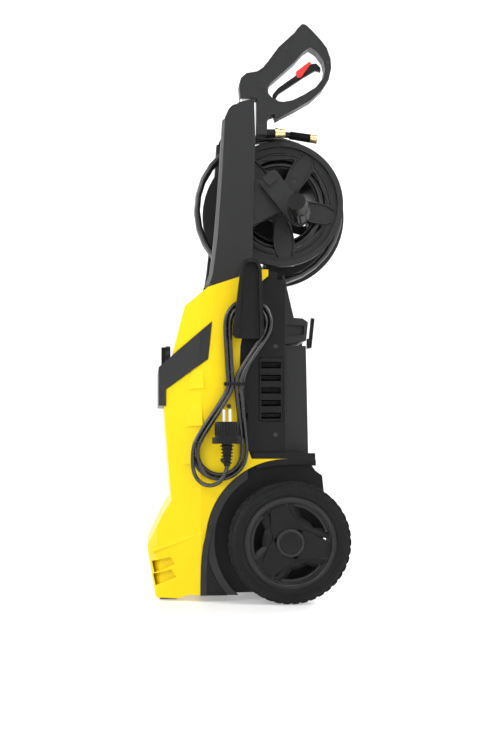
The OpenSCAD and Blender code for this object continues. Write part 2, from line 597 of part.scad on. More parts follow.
// The short pressure hose from the pump to the reel's swivel, on the right-hand side.
feed_x = arm_x1 + 4;
feed_y = 46;
feed_r = 6;
module reel_swivel() placed() color(brass) {
    rod(-feed_x - 8, -arm_x1 + 1.5, 7, reel_y, reel_z);
    translate([-feed_x, reel_y, reel_z - 26]) cylinder(h = 26, r = 7.5, $fn = 64);
}
module feed_hose() placed() color(black) {
    translate([-feed_x, reel_y, reel_z - 56]) cylinder(h = 29.9, r = feed_r, $fn = 64);
    hull() {
        translate([-feed_x, reel_y, reel_z - 56]) cylinder(h = 1, r = feed_r, $fn = 32);
        translate([-feed_x, feed_y, reel_z - 92]) cylinder(h = 1, r = feed_r, $fn = 32);
    }
    translate([-feed_x, feed_y, dz(20)]) cylinder(h = 20 + reel_z - 92 - body_h, r = feed_r, $fn = 64);
}

// ---------------------------------------------------------------- mains cord

cord_r = cord_d / 2;
gland_r = 6.5;
gland_y = -8;
gland_z = dz(231);
gland_x = 145;
gland_tip = gland_z + 44;
module cord_gland() placed() color(black) {
    rod(housing_x - 7, housing_x + 1, gland_r, gland_y, gland_z);
    intersection() {
        rod(housing_x + 1, gland_x + 5, gland_r + 3, gland_y, gland_z);
        translate([0, 0, gland_z - 20]) cube([gland_x + 5, 200, 32]);
    }
    translate([gland_x, gland_y, gland_z + 12]) cylinder(h = gland_tip - gland_z - 12, r1 = 5, r2 = cord_r + 0.9,
        $fn = fine);
}
plug_x = 186;
plug_y = -35;
plug_z = 258;
plug_r = 18.5;
relief_low = 213;
hank_x = [cover_x + 1.4, cover_x + 15.6];

// The cord's two free stretches: from the gland into the hank, and from the hank to the plug.
gland_route = [[gland_x, gland_y, gland_tip], [145.2, -7.8, 345], [146.6, -6.3, 355.5], [149.2, -2, 367],
    [152, 5, 380], [154, 13.5, 393.5], [154.9, 22, 407]];
plug_route = [[plug_x, plug_y, relief_low], [186, -35.2, 209], [184.4, -38.9, 195.5], [179.9, -48.4, 185],
    [173.9, -61.4, 181.2], [167.8, -74.4, 185], [163.3, -84, 195.5], [161.7, -87.5, 210], [161.7, -87.5, 228]];

// A smooth curve through the route's points, and the directions along it.
function spline(p0, p1, p2, p3, t) = 0.5 * (2 * p1 + (p2 - p0) * t + (2 * p0 - 5 * p1 + 4 * p2 - p3) * t * t
    + (3 * p1 - p0 - 3 * p2 + p3) * t * t * t);
function smooth(p) = let (n = len(p)) concat([for (i = [0:n - 2]) for (k = [0:1])
    spline(p[max(i - 1, 0)], p[i], p[i + 1], p[min(i + 2, n - 1)], k / 2)], [p[n - 1]]);
function unit(v) = v / norm(v);
function heading(p, i) = unit(p[min(i + 1, len(p) - 1)] - p[max(i - 1, 0)]);
// Carries the ring's first spoke along the curve, so that the tube doesn't twist.
function carry(p, i) = i == 0 ? unit(cross(heading(p, 0), [0.3, 0.2, 0.9]))
    : let (d = heading(p, i), u = carry(p, i - 1)) unit(u - d * (u * d));
module tube(route, r, sides = 10) {
    p = smooth(route);
    n = len(p);
    points = [for (i = [0:n - 1]) let (u = carry(p, i), v = cross(heading(p, i), u)) for (k = [0:sides - 1])
        p[i] + r * (cos(k * 360 / sides) * u + sin(k * 360 / sides) * v)];
    walls = [for (i = [0:n - 2]) for (k = [0:sides - 1]) let (j = (k + 1) % sides)
        [i * sides + k, (i + 1) * sides + k, (i + 1) * sides + j, i * sides + j]];
    ends = [[for (k = [0:sides - 1]) k], [for (k = [sides - 1:-1:0]) (n - 1) * sides + k]];
    polyhedron(points, concat(walls, ends), convexity = 6);
}
module power_cord() placed() color(black) tube(gland_route, cord_r);
module plug_lead() placed() color(black) tube(plug_route, cord_r);

// The rest of the cord hangs on the hook as a hank, tied at its waist.
module loop(top, top_r, low, low_r) hull() {
    translate(top) circle(r = top_r, $fn = 40);
    translate(low) circle(r = low_r, $fn = 40);
}
module cord_hank() placed() color(black) side(hank_x[0], hank_x[1]) difference() {
    union() {
        loop([0, 438], 40, [-22, 352], 14);
        loop([-22, 332], 14, [-45, 234], 46);
    }
    loop([0, 438], 26, [-12, 382], 12);
    loop([-30, 298], 8, [-45, 234], 28);
}
module cord_tie() placed() color(black) difference() {
    side(hank_x[0] - 1, hank_x[1] + 1) translate([-38, 339]) square([32, 5]);
    side(hank_x[0], hank_x[1]) translate([-36, 330]) square([28, 20]);
}
module plug_body() placed() color(black) translate([plug_x, plug_y, 0]) {
    translate([0, 0, plug_z]) cylinder(h = 24, r = plug_r, $fn = fine);
    intersection() {
        translate([0, 0, plug_z - 10]) cylinder(h = 10, r = 23, $fn = fine);
        translate([-17, -30, plug_z - 10]) cube([34, 60, 10]);
    }
    translate([0, 0, relief_low]) cylinder(h = plug_z - 10 - relief_low, r1 = cord_r + 1.5, r2 = 8.5, $fn = fine);
}
module plug_pins() placed() color(steel) translate([plug_x, plug_y, plug_z + 24]) for (s = [-1, 1])
    translate([s * 8.5, s * 4.2, 0]) cylinder(h = 19, r = 2.4, $fn = 32);

base_chassis();
front_cover();
front_band();
rear_housing();
vent_grilles();
arch_trims();
rear_column();
column_bracket();
rear_hook();
cord_hook();
cover_screws();
front_feet();
wheel_axle();
axle_clips();
tyre(0);  // tyre_left
rim(0);  // rim_left
hub_cap(0);  // hub_cap_left
tyre(1);  // tyre_right
rim(1);  // rim_right
hub_cap(1);  // hub_cap_right
handle_arm(1);  // handle_arm_left
handle_arm(-1);  // handle_arm_right
handle_grip();
reel_bracket(1);  // reel_bracket_left
reel_bracket(-1);  // reel_bracket_right
reel_swivel();
feed_hose();
motor();
pump();
water_inlet();
switch_box();
switch_knob();
reel_shaft();
reel_drum();
reel_flange_near();
reel_flange_far();
reel_screws();
hose_coil();
hose_loops();
hose_sleeve();
hose_nut();
crank_arm();
knob_stem();
knob_grip();
gun_shell_left();
gun_shell_right();
gun_barrel();
gun_inlet();
gun_nipple();
gun_screws();
trigger_pin();
gun_trigger();
trigger_lock();
cord_gland();
power_cord();
plug_lead();
cord_hank();
cord_tie();
plug_body();
plug_pins();
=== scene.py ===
"""The looks of an upright pressure washer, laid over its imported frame."""

import json
import math

import bmesh
import bpy
from bpy.props import FloatProperty, FloatVectorProperty, IntProperty, PointerProperty
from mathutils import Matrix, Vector


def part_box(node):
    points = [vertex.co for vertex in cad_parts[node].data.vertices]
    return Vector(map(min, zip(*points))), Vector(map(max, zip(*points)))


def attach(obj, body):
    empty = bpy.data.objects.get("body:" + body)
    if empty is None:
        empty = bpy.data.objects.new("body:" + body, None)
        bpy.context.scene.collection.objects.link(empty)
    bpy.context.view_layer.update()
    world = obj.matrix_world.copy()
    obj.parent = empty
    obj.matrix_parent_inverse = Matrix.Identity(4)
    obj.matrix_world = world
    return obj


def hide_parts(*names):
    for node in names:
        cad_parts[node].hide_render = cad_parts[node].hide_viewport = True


bl_info = {
    "name": "Pressure Washer",
    "version": (1, 0, 0),
    "blender": (4, 5, 0),
    "location": "3D View > Sidebar > Washer",
    "description": "Materials, cords, tyres and trim for an upright pressure washer",
    "category": "Add Mesh",
}

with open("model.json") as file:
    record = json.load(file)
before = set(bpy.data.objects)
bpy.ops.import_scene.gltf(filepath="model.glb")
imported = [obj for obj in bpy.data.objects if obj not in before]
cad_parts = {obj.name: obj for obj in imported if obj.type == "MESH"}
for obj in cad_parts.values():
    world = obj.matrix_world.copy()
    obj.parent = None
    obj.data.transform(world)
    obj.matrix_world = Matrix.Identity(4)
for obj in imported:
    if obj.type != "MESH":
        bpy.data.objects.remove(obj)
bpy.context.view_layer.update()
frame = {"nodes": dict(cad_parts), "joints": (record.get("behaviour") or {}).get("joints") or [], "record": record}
JOINT = {joint["name"]: joint for joint in frame["joints"]}

# The reel turns about a line along X. Its hose leans forward of that line.
REEL = Vector(JOINT["reel_spin"]["pos_m"])
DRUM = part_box("reel_drum")
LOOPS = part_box("hose_loops")
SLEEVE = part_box("hose_sleeve")
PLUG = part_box("plug_body")
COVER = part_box("front_cover")
UPWARD = (0, 0, 1)


# ---------------------------------------------------------------- sizes and colours


def colour(name, description, default):
    return FloatVectorProperty(
        name=name, description=description, subtype="COLOR", size=3, min=0, max=1, default=default
    )


def distance(name, description, default):
    return FloatProperty(
        name=name, description=description, default=default, min=0, subtype="DISTANCE", unit="LENGTH",
        precision=4,
    )


def count(name, description, default, low, high):
    return IntProperty(name=name, description=description, default=default, min=low, max=high)


class WasherFinish(bpy.types.PropertyGroup):
    shell: colour("Shell", "Colour of the front cover", (0.76, 0.55, 0.0012))
    charcoal: colour("Charcoal", "Colour of the arms, reel and gun", (0.0085, 0.0087, 0.0095))
    black: colour("Black", "Colour of the rear housing and tray", (0.004, 0.0041, 0.0044))
    rubber: colour("Rubber", "Colour of the tyres and grips", (0.004, 0.004, 0.0042))
    sheath: colour("Sheath", "Colour of the mains cord and hoses", (0.007, 0.007, 0.0075))
    lock: colour("Lock", "Colour of the trigger's lock", (0.62, 0.012, 0.01))
    brass: colour("Brass", "Colour of the turned fittings", (0.86, 0.68, 0.36))
    steel: colour("Steel", "Colour of the bright metal", (0.62, 0.62, 0.63))
    edge_radius: distance("Edge radius", "Rounding of moulded edges", 0.0011)


class WasherTyre(bpy.types.PropertyGroup):
    blocks: count("Blocks", "Tread blocks round each tyre", 42, 12, 60)
    tread: distance("Tread", "Depth of the tread's grooves", 0.0019)
    crown: distance("Crown", "How far the shoulders drop from the tread", 0.0045)


class WasherHose(bpy.types.PropertyGroup):
    diameter: distance("Diameter", "Diameter of the pressure hose", 0.010)
    length: distance("Length", "Whole length of the pressure hose", 10.27)
    loops: count("Loops", "Loose turns in front of the drum", 3, 1, 4)


class WasherCord(bpy.types.PropertyGroup):
    diameter: distance("Diameter", "Diameter of the mains cord", 0.0065)
    length: distance("Length", "Whole length of the mains cord", 2.5)


class WasherStage(bpy.types.PropertyGroup):
    camera: FloatVectorProperty(
        name="Camera", description="Where the camera stands", subtype="TRANSLATION", unit="LENGTH",
        size=3, default=(2.393, -0.1705, 0.2598),
    )
    turn: FloatProperty(
        name="Turn", description="Turn of the camera from looking along -X", subtype="ANGLE",
        default=math.radians(4.13),
    )
    lens: FloatProperty(
        name="Lens", description="Focal length for a 36 mm sensor", default=68.65, min=10
    )
    rise: FloatProperty(name="Rise", description="Vertical shift of the lens", default=0.0815)


GROUPS = {
    "washer_finish": WasherFinish,
    "washer_tyre": WasherTyre,
    "washer_hose": WasherHose,
    "washer_cord": WasherCord,
    "washer_stage": WasherStage,
}


# ---------------------------------------------------------------- shader expressions


class Signal:
    """A shader socket that takes part in a Python expression."""

    def __init__(self, shader, socket):
        self.shader = shader
        self.socket = socket

    def maths(self, operation, first, second):
        return self.shader.node("ShaderNodeMath", {"operation": operation}, {0: first, 1: second})

    def __add__(self, other):
        return self.maths("ADD", self, other)

    def __radd__(self, other):
        return self.maths("ADD", other, self)

    def __sub__(self, other):
        return self.maths("SUBTRACT", self, other)

    def __rsub__(self, other):
        return self.maths("SUBTRACT", other, self)

    def __mul__(self, other):
        return self.maths("MULTIPLY", self, other)

    def clamp(self, low, high):
        return self.shader.node(
            "ShaderNodeMapRange", {"clamp": True}, {"Value": self, "From Min": low, "From Max": high}
        )


class Shader:
    """A material with one Principled shader, built from expressions."""

    def __init__(self, name):
        self.material = bpy.data.materials.new(name)
        self.material.use_nodes = True
        self.tree = self.material.node_tree
        self.principled = next(n for n in self.tree.nodes if n.type == "BSDF_PRINCIPLED")

    def node(self, kind, settings=None, inputs=None, output=0):
        made = self.tree.nodes.new(kind)
        for name, value in (settings or {}).items():
            setattr(made, name, value)
        for name, value in (inputs or {}).items():
            self.feed(made.inputs[name], value)
        return Signal(self, made.outputs[output])

    def feed(self, socket, value):
        if isinstance(value, Signal):
            self.tree.links.new(value.socket, socket)
        elif hasattr(value, "__len__") and socket.type == "RGBA":
            socket.default_value = (*value[:3], 1)
        else:
            socket.default_value = value

    def set(self, name, value):
        self.feed(self.principled.inputs[name], value)

    def place(self):
        """The point in the machine's own frame, in metres."""
        return self.node("ShaderNodeTexCoord", output=3)

    def noise(self, scale, detail=3.0, roughness=0.5, at=None):
        inputs = {"Vector": at or self.place(), "Scale": scale, "Detail": detail, "Roughness": roughness}
        return self.node("ShaderNodeTexNoise", {}, inputs)

    def stretched(self, x, y, z):
        return self.node(
            "ShaderNodeVectorMath", {"operation": "MULTIPLY"}, {0: self.place(), 1: (x, y, z)}
        )

    def mix(self, factor, first, second):
        return self.node(
            "ShaderNodeMix", {"data_type": "RGBA"}, {0: factor, 6: first, 7: second}, output=2
        )

    def rounded(self, radius):
        """The normal, as if each sharp edge were rounded off."""
        return self.node("ShaderNodeBevel", {"samples": 6}, {"Radius": radius})

    def edges(self, normal):
        """One along sharp edges and nothing on the flat."""
        flat = self.node("ShaderNodeNewGeometry", output=1)
        settings = {"operation": "DOT_PRODUCT"}
        agree = self.node("ShaderNodeVectorMath", settings, {0: normal, 1: flat}, output=1)
        return (1 - agree).clamp(0.01, 0.25)

    def bump(self, height, depth, normal=None):
        inputs = {"Height": height, "Distance": depth, "Strength": 1.0}
        if normal:
            inputs["Normal"] = normal
        return self.node("ShaderNodeBump", {}, inputs)


def moulded(name, base, gloss, grain, edge_highlight=0.25, specular=0.36, coat=0.0):
    """Injection-moulded plastic: fine grain, flow marks, settled dust and a painted highlight that lightens the
    sharp edges.
    """
    shader = Shader(name)
    radius = bpy.context.scene.washer_finish.edge_radius
    normal = shader.rounded(radius)
    cloud = shader.noise(9.0, detail=4.0, roughness=0.6)
    fine = shader.noise(900.0, detail=2.0)
    marks = shader.noise(60.0, detail=6.0, roughness=0.7, at=shader.stretched(1.0, 1.0, 0.35))
    edge = shader.edges(normal)
    # The lighter copy of the base paints a highlight along the sharp edges.
    light = tuple(min(1.0, 1.3 * c + 0.004) for c in base)
    dark = tuple(0.86 * c for c in base)
    body = shader.mix(cloud.clamp(0.3, 0.7) * 0.55, base, dark)
    shader.set("Base Color", shader.mix(edge * edge_highlight, body, light))
    shader.set("Roughness", gloss + (marks - 0.5) * 0.16 + (fine - 0.5) * 0.06)
    shader.set("Normal", shader.bump(fine + marks * 0.35, grain, normal))
    shader.set("Specular IOR Level", specular)
    shader.set("Coat Weight", coat)
    shader.set("Coat Roughness", 0.22)
    return shader.material


def rubber(name, base, gloss, scale=420.0, depth=0.00012):
    """Hard rubber with a dull bloom and scuffs."""
    shader = Shader(name)
    normal = shader.rounded(bpy.context.scene.washer_finish.edge_radius)
    bloom = shader.noise(22.0, detail=5.0, roughness=0.65).clamp(0.35, 0.75)
    fine = shader.noise(scale)
    pale = tuple(2.0 * c + 0.002 for c in base)
    shader.set("Base Color", shader.mix(bloom * 0.5, base, pale))
    shader.set("Roughness", gloss + (bloom - 0.5) * 0.12)
    shader.set("Normal", shader.bump(fine, depth, normal))
    shader.set("Specular IOR Level", 0.16)
    return shader.material


def sheath(name, base, gloss):
    """Smooth extruded sheath, with faint draw lines and handling marks."""
    shader = Shader(name)
    marks = shader.noise(140.0, detail=5.0, roughness=0.6)
    smear = shader.noise(30.0).clamp(0.3, 0.7)
    shader.set("Base Color", shader.mix(smear * 0.6, base, tuple(1.9 * c for c in base)))
    shader.set("Roughness", gloss + (marks - 0.5) * 0.14)
    shader.set("Normal", shader.bump(marks, 0.00008))
    shader.set("Coat Weight", 0.25)
    shader.set("Coat Roughness", 0.18)
    return shader.material


def metal(name, base, gloss, stretch, tarnish):
    """Turned or plated metal with tool lines along one direction."""
    shader = Shader(name)
    normal = shader.rounded(0.0004)
    lines = shader.noise(900.0, detail=2.0, at=shader.stretched(*stretch))
    stain = shader.noise(70.0, detail=5.0, roughness=0.6).clamp(0.45, 0.75)
    shader.set("Base Color", shader.mix(stain * 0.5, base, tarnish))
    shader.set("Metallic", 1.0)
    shader.set("Roughness", gloss + (lines - 0.5) * 0.18 + stain * 0.12)
    shader.set("Normal", shader.bump(lines, 0.00004, normal))
    return shader.material


MATERIALS = {}


def make_materials():
    tone = bpy.context.scene.washer_finish
    shell, charcoal, black = tuple(tone.shell), tuple(tone.charcoal), tuple(tone.black)
    soft, skin = tuple(tone.rubber), tuple(tone.sheath)
    MATERIALS.update({
        "yellow_plastic": moulded("shell", shell, 0.34, 0.00006, edge_highlight=0.3, specular=0.2),
        "black_plastic": moulded("black_plastic", black, 0.40, 0.00011, specular=0.2),
        "charcoal_plastic": moulded("charcoal_plastic", charcoal, 0.38, 0.00014, edge_highlight=0.35),
        "soft_grip": rubber("soft_grip", soft, 0.6),
        "red_plastic": moulded("red_plastic", tuple(tone.lock), 0.26, 0.00003, coat=0.4),
        "tyre": rubber("tyre_rubber", soft, 0.58, 300.0, 0.0002),
        "hose_rubber": sheath("hose_rubber", skin, 0.34),
        "cord_pvc": sheath("cord_pvc", skin, 0.26),
        "bright_steel": metal("bright_steel", tuple(tone.steel), 0.3, (0.05, 1, 1), (0.35, 0.35, 0.36)),
        "chrome": metal("chrome", (0.8, 0.8, 0.82), 0.12, (1, 1, 0.05), (0.55, 0.55, 0.57)),
        "dark_steel": metal("dark_steel", (0.05, 0.05, 0.052), 0.35, (0.05, 1, 1), (0.03, 0.03, 0.03)),
        "brass": metal("brass", tuple(tone.brass), 0.22, (1, 0.05, 1), (0.55, 0.4, 0.18)),
        "cast_metal": rubber("cast_metal", (0.09, 0.09, 0.1), 0.45, 200.0, 0.0004),
    })
    for part in frame["record"]["subparts"]:
        node = frame["nodes"][part["node"]]
        node.data.materials.clear()
        node.data.materials.append(MATERIALS[part["material_slot"]])


# ---------------------------------------------------------------- making pieces


def add_piece(name, data, body, slot, smooth=True):
    """Links a new piece, gives it its finish and lets it ride on a body."""
    piece = bpy.data.objects.new(name, data)
    bpy.context.scene.collection.objects.link(piece)
    data.materials.append(MATERIALS[slot])
    if smooth and hasattr(data, "polygons"):
        data.polygons.foreach_set("use_smooth", [True] * len(data.polygons))
    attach(piece, body)
    return piece


def mesh_from(name, points, faces):
    mesh = bpy.data.meshes.new(name)
    mesh.from_pydata([tuple(p) for p in points], [], faces)
    work = bmesh.new()
    work.from_mesh(mesh)
    bmesh.ops.recalc_face_normals(work, faces=work.faces)
    work.to_mesh(mesh)
    work.free()
    mesh.validate()
    return mesh


def slab_faces(corners):
    """The faces of a slab whose two flat sides have the same number of corners."""
    flat = [tuple(range(corners)), tuple(range(2 * corners - 1, corners - 1, -1))]
    after = [(i + 1) % corners for i in range(corners)]
    return flat + [(i, after[i], corners + after[i], corners + i) for i in range(corners)]


def ring_faces(rings, around, closed=False):
    """The faces between rings of points: all the way round, or with a face at each end."""
    faces = []
    for ring in range(rings if closed else rings - 1):
        a, b = ring * around, (ring + 1) % rings * around
        for k in range(around):
            n = (k + 1) % around
            faces.append((a + k, a + n, b + n, b + k))
    if not closed:
        faces.append(tuple(range(around)))
        faces.append(tuple(range(rings * around - 1, (rings - 1) * around - 1, -1)))
    return faces


def plate(outline, x0, x1):
    """A closed plate from a side outline of (y, z) points, between two places along X."""
    points = [(x, y, z) for x in sorted((x0, x1)) for y, z in outline]
    return points, slab_faces(len(outline))


def centre_of(low, high):
    """The middle of a box, seen from the side, as (y, z)."""
    return (low.y + high.y) / 2, (low.z + high.z) / 2


def ends_of(low, high, sign):
    """A box's inner and outer places along X, on the machine's left (1) or right (-1)."""
    return (low.x, high.x) if sign > 0 else (high.x, low.x)


def join_solids(solids):
    """Puts several closed solids into one list of points and faces."""
    points, faces = [], []
    for more, around in solids:
        faces += [tuple(i + len(points) for i in face) for face in around]
        points += more
    return points, faces


def soften(piece, width, segments):
    bevel = piece.modifiers.new("Rounded edges", "BEVEL")
    bevel.width = width
    bevel.segments = segments
    bevel.limit_method = "ANGLE"
    bevel.harden_normals = True


def add_solid(name, solid, body, slot, smooth=True, rounding=None, segments=2):
    """Adds a piece from its points and faces, with its sharp edges rounded if asked."""
    piece = add_piece(name, mesh_from(name, *solid), body, slot, smooth)
    if rounding:
        soften(piece, rounding, segments)
    return piece


def sweep_ring(centre, radius, thick, start, end, steps, sides=10):
    """A round bar bent along an arc about X, from angle start to end, with closed ends."""
    points = []
    for i in range(steps + 1):
        a = start + (end - start) * i / steps
        taper = min(1.0, 0.35 + 4.0 * min(i, steps - i) / steps)
        for k in range(sides):
            b = 2 * math.pi * k / sides
            out = radius + thick * taper * math.cos(b)
            points.append((centre[0] + thick * taper * math.sin(b), centre[1] + out * math.cos(a),
                           centre[2] + out * math.sin(a)))
    return points, ring_faces(steps + 1, sides)


def turned(centre, axis, profile, steps=48):
    """A solid turned about a line, from (along, radius) pairs, closed at both ends."""
    axis = Vector(axis).normalized()
    side = axis.orthogonal().normalized()
    up = axis.cross(side)
    points = []
    for along, radius in profile:
        for k in range(steps):
            a = 2 * math.pi * k / steps
            outward = side * math.cos(a) + up * math.sin(a)
            points.append(Vector(centre) + axis * along + outward * radius)
    return points, ring_faces(len(profile), steps)


def cord_curve(name, points, diameter):
    """One open spline through the route's points, as thick as the cord."""
    curve = bpy.data.curves.new(name, "CURVE")
    curve.dimensions = "3D"
    curve.bevel_depth = diameter / 2
    curve.bevel_resolution = 4
    curve.resolution_u = 6
    curve.use_fill_caps = True
    spline = curve.splines.new("POLY")
    spline.points.add(len(points) - 1)
    for point, place in zip(spline.points, points):
        point.co = (*place, 1)
    return curve


def smooth_route(points, steps):
    """A Catmull-Rom line through points."""
    points = [Vector(p) for p in points]
    line = []
    for i in range(len(points) - 1):
        a, b = points[max(i - 1, 0)], points[i]
        c, d = points[i + 1], points[min(i + 2, len(points) - 1)]
        for k in range(steps):
            t = k / steps
            line.append(0.5 * (2 * b + (c - a) * t + (2 * a - 5 * b + 4 * c - d) * t * t
                               + (3 * b - a - 3 * c + d) * t ** 3))
    return line + [points[-1]]


def ease(share):
    """Zero to one, setting off and arriving gently."""
    return share * share * (3 - 2 * share)


# ---------------------------------------------------------------- routes of the hose and the cord


def hose_route(hose):
    """Two layers on the drum, then the loose loops, ending in the sleeve at the free end."""
    drum_r = (DRUM[1].z - DRUM[0].z) / 2
    thick, pitch = hose.diameter, hose.diameter * 1.02
    edge = (DRUM[1].x - DRUM[0].x) / 2 - thick / 2 - 0.0008
    first, second = drum_r + thick / 2 + 0.0005, drum_r + 1.5 * thick + 0.0008
    loop_centre = Vector((0, (LOOPS[0].y + LOOPS[1].y) / 2, (LOOPS[0].z + LOOPS[1].z) / 2))
    loop_r = (LOOPS[1].y - LOOPS[0].y) / 2 - 0.75 * thick
    loop_x = LOOPS[0].x + thick / 2
    first_turns = 2 * edge / pitch
    second_turns = 6.0
    climb = 0.25
    leave = first_turns + climb + second_turns
    spread = 0.75
    unfinished = 0.4
    turns = leave + spread + hose.loops - unfinished
    last_angle = math.radians(104)
    start = last_angle + turns * 2 * math.pi
    per_turn = 28
    line = []
    steps = int(turns * per_turn)
    for i in range(steps + 1):
        at = turns * i / steps
        angle = start - at * 2 * math.pi
        centre, radius = REEL, second
        if at < first_turns:
            x, radius = -edge + at * pitch, first
        elif at < first_turns + climb:
            x, radius = edge, first + (second - first) * (at - first_turns) / climb
        elif at < leave:
            x = edge - (at - first_turns - climb) * pitch
        elif at < leave + spread:
            share = (at - leave) / spread
            eased = ease(share)
            x0 = edge - second_turns * pitch
            x = x0 + (loop_x - x0) * eased
            centre = REEL.lerp(loop_centre, eased)
            radius = second + (loop_r - second) * eased
        else:
            x, centre, radius = loop_x + (at - leave - spread) * pitch, loop_centre, loop_r
        y, z = centre.y + radius * math.cos(angle), centre.z + radius * math.sin(angle)
        line.append(Vector((x, y, z)))
    end = Vector(((SLEEVE[0].x + SLEEVE[1].x) / 2, SLEEVE[0].y + 0.0009, SLEEVE[1].z - 0.0065))
    begin, way = line[-1], (line[-1] - line[-2]).normalized()
    reach = (end - begin).length
    tilt = math.radians(98)
    finish = Vector((0, math.sin(tilt), math.cos(tilt)))
    final_steps = 16
    for k in range(1, final_steps + 1):
        t = k / final_steps
        a, b = 2 * t ** 3 - 3 * t ** 2 + 1, t ** 3 - 2 * t ** 2 + t
        c, d = 3 * t ** 2 - 2 * t ** 3, t ** 3 - t ** 2
        line.append(begin * a + way * (reach * b) + end * c + finish * (reach * d))
    return line


# The mains cord's free stretches, as the CAD has them before it is centred on the origin.
CENTRE_Y = -0.01175
LEAVING = [
    (0.145, -0.008, 0.335), (0.1452, -0.0078, 0.345), (0.1466, -0.0063, 0.3555), (0.1492, -0.002, 0.367),
    (0.152, 0.005, 0.380), (0.154, 0.0135, 0.3935), (0.1549, 0.022, 0.407),
]
TO_PLUG = [
    (0.186, -0.035, 0.213), (0.186, -0.0352, 0.209), (0.1844, -0.0389, 0.1955), (0.1799, -0.0484, 0.185),
    (0.1739, -0.0614, 0.1812), (0.1678, -0.0744, 0.185), (0.1633, -0.084, 0.1955),
    (0.1617, -0.0875, 0.210), (0.1617, -0.0875, 0.228),
]
# Each turn of the hank as (x, inset), and the degrees between which it crosses over to the next.
HANK_SLOTS = [(0.1549, 0.0035), (0.1549, 0.0102), (0.1617, 0.0102), (0.1617, 0.0035)]
HANK_SWAPS = {0: (285, 335), 1: (243, 290), 2: (200, 248)}
HANK_TOP_Z, HANK_TOP_RADIUS = 0.438, 0.040
HANK_FOOT_Y, HANK_FOOT_Z, HANK_FOOT_RADIUS = -0.045, 0.234, 0.046
WAIST_LOW, WAIST_HIGH = 0.332, 0.354
WAIST_BACK, WAIST_FRONT = -0.008, -0.036


def hank_route():
    """Four long turns over the hook, pinched at the waist, one beside or over the other."""
    line = []
    for turn, (x, inset) in enumerate(HANK_SLOTS):
        if turn:
            line += [(x, WAIST_BACK - inset, WAIST_LOW), (x, WAIST_BACK - inset, WAIST_HIGH)]
        for step in range(11):
            a = math.radians(-33 + 216 * step / 10)
            radius = HANK_TOP_RADIUS - inset
            line.append((x, radius * math.cos(a), HANK_TOP_Z + radius * math.sin(a)))
        line += [(x, WAIST_FRONT + inset, WAIST_HIGH), (x, WAIST_FRONT + inset, WAIST_LOW)]
        last = turn == len(HANK_SLOTS) - 1
        begin, end = (400, 401) if last else HANK_SWAPS[turn]
        next_x, next_inset = (x, inset) if last else HANK_SLOTS[turn + 1]
        for degrees in range(147, 178 if last else 370, 18):
            share = ease(min(1.0, max(0.0, (degrees - begin) / (end - begin))))
            radius = HANK_FOOT_RADIUS - (inset + (next_inset - inset) * share)
            a = math.radians(degrees)
            line.append((x + (next_x - x) * share, HANK_FOOT_Y + radius * math.cos(a),
                         HANK_FOOT_Z + radius * math.sin(a)))
    return line


def relaxed(line, spacing, passes):
    """The same line with evenly spaced points, eased where it bends sharply. Its ends stay."""
    line = [Vector(point) for point in line]
    even, left = [line[0]], spacing
    for a, b in zip(line, line[1:]):
        span = (b - a).length
        at = left
        while at < span:
            even.append(a.lerp(b, at / span))
            at += spacing
        left = at - span
    even.append(line[-1])
    for _ in range(passes):
        inner = [even[i] * 0.5 + (even[i - 1] + even[i + 1]) * 0.25 for i in range(1, len(even) - 1)]
        even[1:-1] = inner
    return even


def cord_route():
    points = [(x, y + CENTRE_Y, z) for x, y, z in LEAVING + hank_route() + TO_PLUG[::-1]]
    return relaxed(smooth_route(points, 4), spacing=0.004, passes=14)


# ---------------------------------------------------------------- operators


